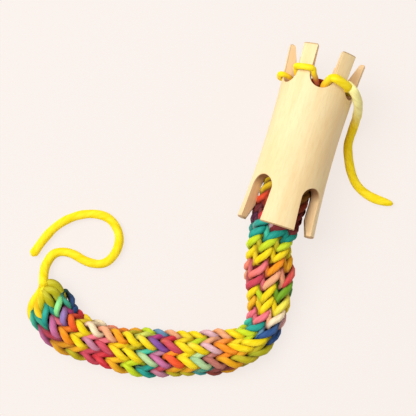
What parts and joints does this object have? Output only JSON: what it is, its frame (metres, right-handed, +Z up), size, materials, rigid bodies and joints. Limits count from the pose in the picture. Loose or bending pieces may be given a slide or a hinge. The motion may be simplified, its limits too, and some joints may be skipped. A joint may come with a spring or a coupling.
{
  "type": "i-cord maker",
  "caption": "Turned wooden tube with a waisted body, narrow prongs at one end and wide prongs at the other, with a knitted yarn cord growing from its bore.",
  "frame": {"origin": "on the table under the middle of the maker's axis", "axes": "+Y along the maker's axis towards the narrow prongs, +Z up from the table it lies on"},
  "size_m": [0.166, 0.1758, 0.0402],
  "materials": {
    "wood": "bare fine-sanded pale hardwood",
    "knit_yarn": "variegated bulky wool, knitted",
    "plain_yarn": "bulky single wool"
  },
  "bodies": {
    "maker": {"maker_body": "wood", "bore_knit": "knit_yarn", "i_cord": "knit_yarn", "cast_on_end": "knit_yarn", "cast_on_tail": "plain_yarn", "working_tail": "plain_yarn"},
    "stitch_top_left": {"loop_top_left": "plain_yarn"},
    "stitch_top_right": {"loop_top_right": "plain_yarn"},
    "stitch_right": {"loop_right": "plain_yarn"},
    "stitch_low_right": {"loop_low_right": "plain_yarn"},
    "stitch_low_left": {"loop_low_left": "plain_yarn"},
    "stitch_left": {"loop_left": "plain_yarn"}
  },
  "joints": [
    {"name": "lift_top_left", "type": "slide", "parent": "maker", "child": "stitch_top_left", "axis": [-0.0376, 0.9972, 0.0652], "range_m": [0, 0.016]},
    {"name": "lift_top_right", "type": "slide", "parent": "maker", "child": "stitch_top_right", "axis": [0.0376, 0.9972, 0.0652], "range_m": [0, 0.016]},
    {"name": "lift_right", "type": "slide", "parent": "maker", "child": "stitch_right", "axis": [0.0753, 0.9972, 0], "range_m": [0, 0.016]},
    {"name": "lift_low_right", "type": "slide", "parent": "maker", "child": "stitch_low_right", "axis": [0.0376, 0.9972, -0.0652], "range_m": [0, 0.016]},
    {"name": "lift_low_left", "type": "slide", "parent": "maker", "child": "stitch_low_left", "axis": [-0.0376, 0.9972, -0.0652], "range_m": [0, 0.016]},
    {"name": "lift_left", "type": "slide", "parent": "maker", "child": "stitch_left", "axis": [-0.0753, 0.9972, 0], "range_m": [0, 0.016]}
  ]
}
